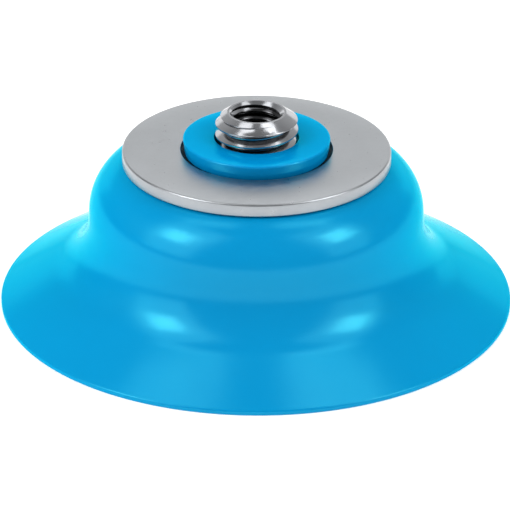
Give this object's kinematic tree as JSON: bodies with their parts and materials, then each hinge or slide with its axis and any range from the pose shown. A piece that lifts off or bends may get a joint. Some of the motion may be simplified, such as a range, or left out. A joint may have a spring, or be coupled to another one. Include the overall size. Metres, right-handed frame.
{
  "type": "vacuum suction cup",
  "caption": "Bell-shaped soft suction cup with a flared lip, clamped under a steel disc on a hollow threaded sleeve that carries the vacuum.",
  "frame": {"origin": "centre of the lip's contact plane, on the cup's axis", "axes": "+Z along the cup's axis, from the lip towards the threaded sleeve"},
  "size_m": [0.0754, 0.0754, 0.0295],
  "materials": {
    "cup_polyurethane": "satin moulded polyurethane",
    "disc_steel": "zinc-plated, faint turning marks",
    "ring_polyurethane": "satin moulded polyurethane",
    "sleeve_steel": "bright turned and plated",
    "plate_steel": "zinc-plated",
    "washer_steel": "plain spring steel",
    "nut_steel": "zinc-plated"
  },
  "bodies": {
    "fitting": {"support_disc": "disc_steel", "sealing_ring": "ring_polyurethane", "threaded_sleeve": "sleeve_steel", "clamp_plate": "plate_steel", "lock_washer": "washer_steel", "lock_nut": "nut_steel"},
    "cup": {"suction_cup": "cup_polyurethane"}
  },
  "joints": [
    {"name": "cup_compression", "type": "slide", "parent": "fitting", "child": "cup", "axis": [0, 0, 1], "range_m": [0, 0.005], "stiffness_N_per_m": 8000, "deforming": ["suction_cup"]}
  ]
}
